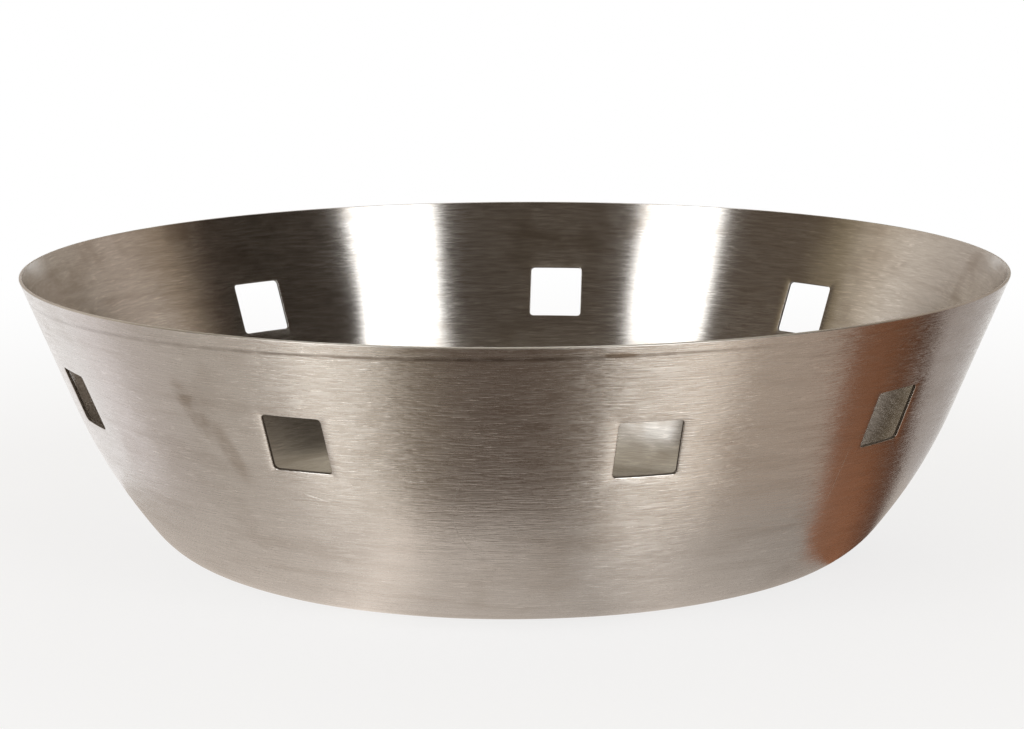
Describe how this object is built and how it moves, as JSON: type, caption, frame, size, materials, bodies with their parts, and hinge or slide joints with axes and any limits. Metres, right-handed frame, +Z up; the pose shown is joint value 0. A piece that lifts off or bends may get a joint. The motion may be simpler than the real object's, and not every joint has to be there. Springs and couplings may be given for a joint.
{
  "type": "pierced steel bowl",
  "caption": "Round brushed stainless steel bowl with a flared wall, a flat base and a row of square windows punched below the rim.",
  "frame": {"origin": "centre of the circle that the bowl stands on", "axes": "+Z up along the bowl's axis, -Y towards the front"},
  "size_m": [0.2, 0.2, 0.0583],
  "materials": {
    "brushed_stainless": "stainless steel sheet, brushed round the wall outside, brighter inside"
  },
  "bodies": {
    "root": {"bowl_shell": "brushed_stainless"}
  },
  "joints": []
}
